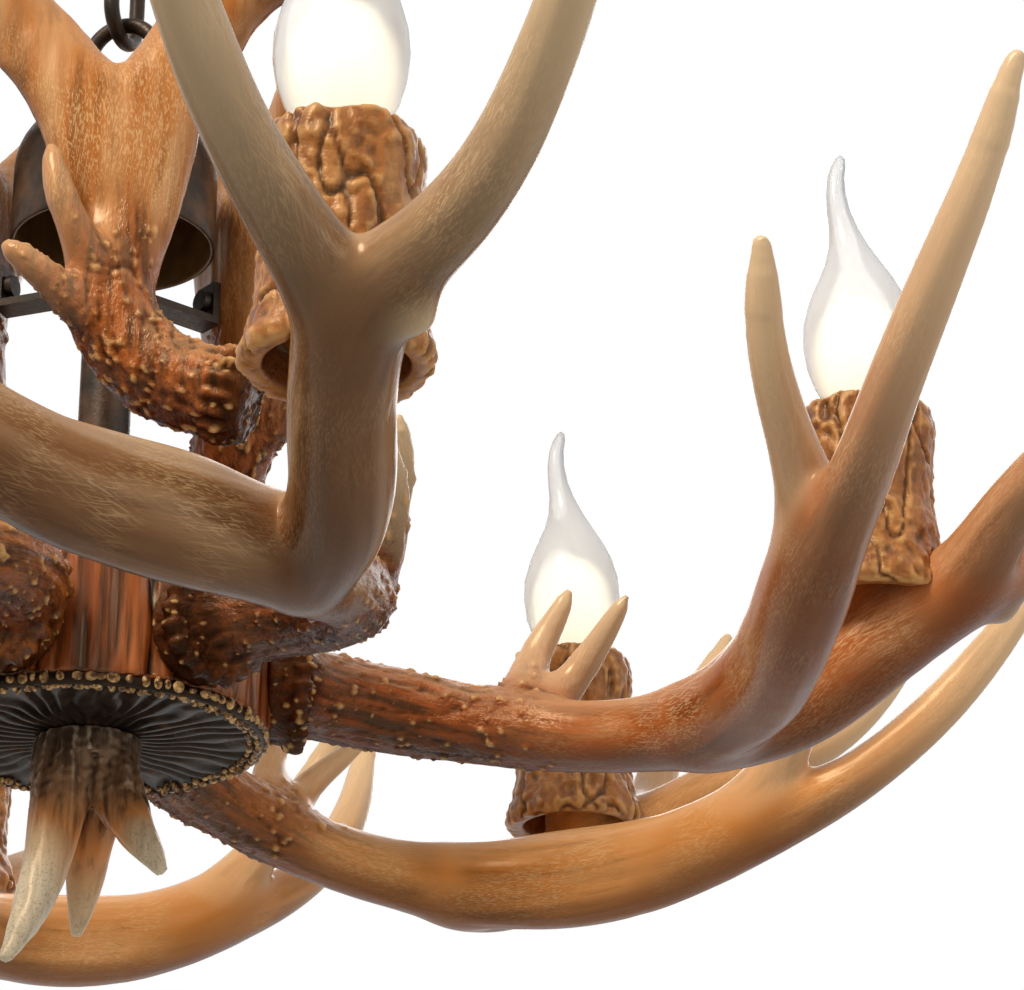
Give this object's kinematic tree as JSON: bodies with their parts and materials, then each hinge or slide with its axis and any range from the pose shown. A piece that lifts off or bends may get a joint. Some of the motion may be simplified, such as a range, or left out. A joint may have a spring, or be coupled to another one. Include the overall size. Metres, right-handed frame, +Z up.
{
  "type": "antler chandelier",
  "caption": "Hanging ceiling light: branching antler arms curve out from a round hub, each with a candle lamp in a bark cup, under a short chain and ceiling canopy.",
  "frame": {"origin": "centre of the ceiling mount, on the ceiling plane", "axes": "+Z up towards the ceiling; -Y faces the viewer; the arms turn about Z"},
  "size_m": [0.6933, 0.6952, 0.5301],
  "materials": {
    "antler_resin": "cast resin, stained golden to red brown, satin varnish",
    "finial_resin": "cast resin, grooved crown stained dark, pale tips",
    "bark_resin": "cast resin, bark texture picked out in gold",
    "trunk_resin": "cast resin with wood grain, varnished",
    "hub_dark": "near-black stain with gold-brushed beads",
    "bronze_paint": "rubbed dark bronze paint on steel",
    "zinc_steel": "zinc plated",
    "insulator": "moulded heat-proof plastic",
    "lamp_cap_metal": "rolled brass",
    "lamp_glass": "clear glass, lightly frosted inside"
  },
  "bodies": {
    "ceiling_fitting": {"canopy": "bronze_paint", "canopy_bracket": "zinc_steel", "canopy_nipple": "zinc_steel", "canopy_nuts": "zinc_steel", "terminal_block": "insulator", "canopy_loop": "bronze_paint"},
    "link_1": {"chain_link_1": "bronze_paint"},
    "link_2": {"chain_link_2": "bronze_paint"},
    "link_3": {"chain_link_3": "bronze_paint"},
    "link_4": {"chain_link_4": "bronze_paint"},
    "link_5": {"chain_link_5": "bronze_paint"},
    "fixture": {"fixture_loop": "bronze_paint", "bell_cap": "bronze_paint", "bell_nut": "zinc_steel", "stem_nipple": "zinc_steel", "stem_pipe": "bronze_paint", "stem_nuts": "zinc_steel", "hub_trunk": "trunk_resin", "hub_base_disc": "hub_dark", "hub_rim": "hub_dark", "arm_studs": "zinc_steel", "arm_nuts": "zinc_steel", "arm_antler_1": "antler_resin", "candle_cup_1": "bark_resin", "lampholder_1": "insulator", "arm_antler_2": "antler_resin", "candle_cup_2": "bark_resin", "lampholder_2": "insulator", "arm_antler_3": "antler_resin", "candle_cup_3": "bark_resin", "lampholder_3": "insulator", "arm_antler_4": "antler_resin", "candle_cup_4": "bark_resin", "lampholder_4": "insulator", "arm_antler_5": "antler_resin", "candle_cup_5": "bark_resin", "lampholder_5": "insulator", "arm_antler_6": "antler_resin", "candle_cup_6": "bark_resin", "lampholder_6": "insulator", "cup_screws": "zinc_steel", "upper_bracket": "zinc_steel", "upper_screws": "zinc_steel", "upper_antler_1": "antler_resin", "upper_antler_2": "antler_resin", "upper_antler_3": "antler_resin", "finial": "finial_resin", "finial_stud": "zinc_steel"},
    "lamp_1": {"lamp_cap_1": "lamp_cap_metal", "lamp_glass_1": "lamp_glass"},
    "lamp_2": {"lamp_cap_2": "lamp_cap_metal", "lamp_glass_2": "lamp_glass"},
    "lamp_3": {"lamp_cap_3": "lamp_cap_metal", "lamp_glass_3": "lamp_glass"},
    "lamp_4": {"lamp_cap_4": "lamp_cap_metal", "lamp_glass_4": "lamp_glass"},
    "lamp_5": {"lamp_cap_5": "lamp_cap_metal", "lamp_glass_5": "lamp_glass"},
    "lamp_6": {"lamp_cap_6": "lamp_cap_metal", "lamp_glass_6": "lamp_glass"}
  },
  "joints": [
    {"name": "link_1_swing", "type": "hinge", "parent": "ceiling_fitting", "child": "link_1", "pos_m": [0, 0, -0.0585], "axis": [0.9063, -0.4226, 0], "range_deg": [-11, 11]},
    {"name": "link_2_swing", "type": "hinge", "parent": "link_1", "child": "link_2", "pos_m": [0, 0, -0.0902], "axis": [0.4226, 0.9063, 0], "range_deg": [-11, 11]},
    {"name": "link_3_swing", "type": "hinge", "parent": "link_2", "child": "link_3", "pos_m": [0, 0, -0.1219], "axis": [0.9063, -0.4226, 0], "range_deg": [-11, 11]},
    {"name": "link_4_swing", "type": "hinge", "parent": "link_3", "child": "link_4", "pos_m": [0, 0, -0.1536], "axis": [0.4226, 0.9063, 0], "range_deg": [-11, 11]},
    {"name": "link_5_swing", "type": "hinge", "parent": "link_4", "child": "link_5", "pos_m": [0, 0, -0.1853], "axis": [0.9063, -0.4226, 0], "range_deg": [-11, 11]},
    {"name": "fixture_swing", "type": "hinge", "parent": "link_5", "child": "fixture", "pos_m": [0, 0, -0.217], "axis": [0.4226, 0.9063, 0], "range_deg": [-11, 11]},
    {"name": "lamp_1_unscrew", "type": "hinge", "parent": "fixture", "child": "lamp_1", "pos_m": [0.22734, -0.0435, -0.38052], "axis": [0, 0, 1], "range_deg": [0, 720]},
    {"name": "lamp_2_unscrew", "type": "hinge", "parent": "fixture", "child": "lamp_2", "pos_m": [0.16569, 0.15898, -0.38709], "axis": [0, 0, 1], "range_deg": [0, 720]},
    {"name": "lamp_3_unscrew", "type": "hinge", "parent": "fixture", "child": "lamp_3", "pos_m": [-0.05067, 0.22364, -0.39935], "axis": [0, 0, 1], "range_deg": [0, 720]},
    {"name": "lamp_4_unscrew", "type": "hinge", "parent": "fixture", "child": "lamp_4", "pos_m": [-0.22501, 0.05224, -0.3862], "axis": [0, 0, 1], "range_deg": [0, 720]},
    {"name": "lamp_5_unscrew", "type": "hinge", "parent": "fixture", "child": "lamp_5", "pos_m": [-0.16183, -0.16396, -0.38735], "axis": [0, 0, 1], "range_deg": [0, 720]},
    {"name": "lamp_6_unscrew", "type": "hinge", "parent": "fixture", "child": "lamp_6", "pos_m": [0.05816, -0.22278, -0.3959], "axis": [0, 0, 1], "range_deg": [0, 720]}
  ]
}
